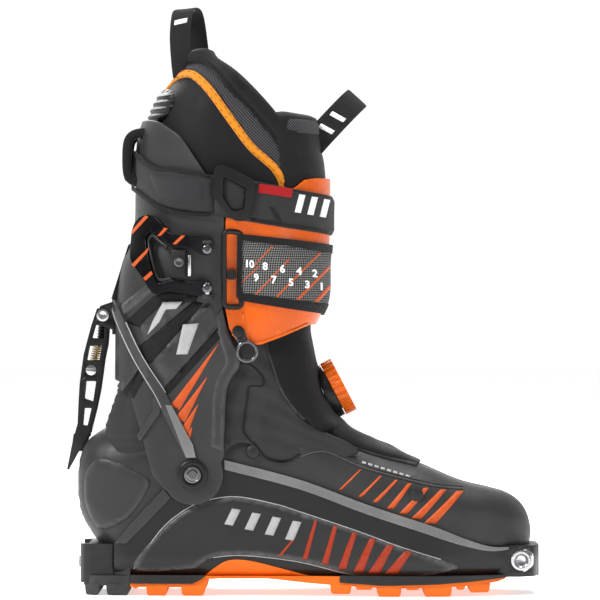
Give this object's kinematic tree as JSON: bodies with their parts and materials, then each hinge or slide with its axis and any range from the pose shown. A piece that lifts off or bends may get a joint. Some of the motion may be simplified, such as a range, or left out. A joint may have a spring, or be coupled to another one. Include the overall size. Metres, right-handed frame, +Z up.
{
  "type": "alpine touring boot",
  "caption": "Ski touring boot with hinged cuff, walk lever, strap and ring buckle, lacing dial, tech sockets at toe and heel, and a lugged sole.",
  "frame": {"origin": "middle of the whole boot's box, on the surface it stands on", "axes": "+X to the toe, +Z up, -Y to the outer side with the buckle"},
  "size_m": [0.3065, 0.116, 0.3805],
  "materials": {
    "shell_plastic": "fine-grained moulded nylon, satin",
    "frame_plastic": "carbon-filled nylon, satin",
    "sole_orange": "moulded tread rubber",
    "heel_rubber": "moulded dark rubber",
    "bright_steel": "turned and ground steel",
    "dark_steel": "blackened steel",
    "black_plastic": "black moulded plastic",
    "lever_alloy": "black anodised alloy",
    "spring_brass": "drawn wire",
    "orange_plastic": "moulded orange plastic, satin",
    "liner_fabric": "black knitted liner fabric",
    "softshell": "black stretch softshell",
    "webbing": "black woven webbing",
    "strap_mesh": "grey woven mesh laminate",
    "board_plastic": "moulded board",
    "insole_foam": "covered foam",
    "lace_wire": "coated steel lace"
  },
  "bodies": {
    "shell": {"lower_shell": "shell_plastic", "sole_frame": "frame_plastic", "toe_ledge": "frame_plastic", "toe_insert": "bright_steel", "heel_insert": "bright_steel", "heel_insert_screw": "bright_steel", "outsole_forefoot": "sole_orange", "outsole_heel": "sole_orange", "heel_lug_pad": "heel_rubber", "boot_board": "board_plastic", "footbed": "insole_foam", "liner_foot": "liner_fabric", "liner_ankle": "liner_fabric", "gaiter": "softshell", "achilles_cover": "heel_rubber", "catch_bar": "bright_steel", "pivot_bushings": "dark_steel", "pivot_washers": "black_plastic", "pivot_bolts": "bright_steel", "pivot_nuts": "dark_steel", "shell_rivets": "dark_steel", "reel_base": "frame_plastic", "reel_lace": "lace_wire", "lace_guides": "black_plastic"},
    "cuff": {"cuff_shell": "shell_plastic", "cuff_brace_lateral": "frame_plastic", "cuff_brace_medial": "frame_plastic", "tongue_flap": "orange_plastic", "liner_shaft": "liner_fabric", "liner_tongue": "liner_fabric", "liner_flex_piece": "heel_rubber", "rear_pull_loop": "webbing", "tongue_pull_loop": "webbing", "cuff_band": "frame_plastic", "rear_strap_loop": "webbing", "strap_window": "frame_plastic", "power_strap": "webbing", "closure_strap": "strap_mesh", "strap_rivets": "dark_steel", "buckle_base": "frame_plastic", "buckle_screw": "dark_steel", "lever_pins": "dark_steel", "rear_bracket": "lever_alloy", "bracket_bolt": "dark_steel", "d_ring_stud": "dark_steel"},
    "walk_lever": {"walk_lever": "lever_alloy", "lever_screw": "dark_steel", "lever_spring": "spring_brass", "lever_hook": "bright_steel"},
    "buckle_lever": {"buckle_lever": "frame_plastic"},
    "buckle_ring": {"buckle_ring": "lever_alloy", "ring_rod": "bright_steel"},
    "d_ring": {"d_ring": "bright_steel"},
    "reel_spindle": {"reel_spindle": "dark_steel"},
    "reel_dial": {"reel_dial": "orange_plastic"}
  },
  "joints": [
    {"name": "cuff_flex", "type": "hinge", "parent": "shell", "child": "cuff", "pos_m": [-0.0702, 0.004, 0.0784], "axis": [0, 1, 0], "range_deg": [-20, 25], "deforming": ["liner_ankle", "gaiter"]},
    {"name": "walk_lever_swing", "type": "hinge", "parent": "cuff", "child": "walk_lever", "pos_m": [-0.1294, 0.004, 0.1805], "axis": [0, 1, 0], "range_deg": [-1, 35]},
    {"name": "buckle_lever_open", "type": "hinge", "parent": "cuff", "child": "buckle_lever", "pos_m": [-0.0606, -0.0525, 0.21], "axis": [0, 0, 1], "range_deg": [0, 95]},
    {"name": "buckle_ring_release", "type": "slide", "parent": "cuff", "child": "buckle_ring", "axis": [0.7131, -0.7011, 0], "range_m": [0, 0.0168]},
    {"name": "d_ring_swing", "type": "hinge", "parent": "cuff", "child": "d_ring", "pos_m": [-0.0409, -0.0468, 0.1702], "axis": [0, 1, 0], "range_deg": [-40, 40]},
    {"name": "reel_pull", "type": "slide", "parent": "shell", "child": "reel_spindle", "axis": [0.8862, 0, 0.4633], "range_m": [0, 0.002]},
    {"name": "reel_turn", "type": "hinge", "parent": "reel_spindle", "child": "reel_dial", "pos_m": [0.0236, 0.004, 0.1339], "axis": [0.8862, 0, 0.4633], "continuous": true}
  ],
  "couplings": [
    {"joint": "buckle_ring_release", "follows": "buckle_lever_open", "m_per_rad": 0.01007}
  ]
}
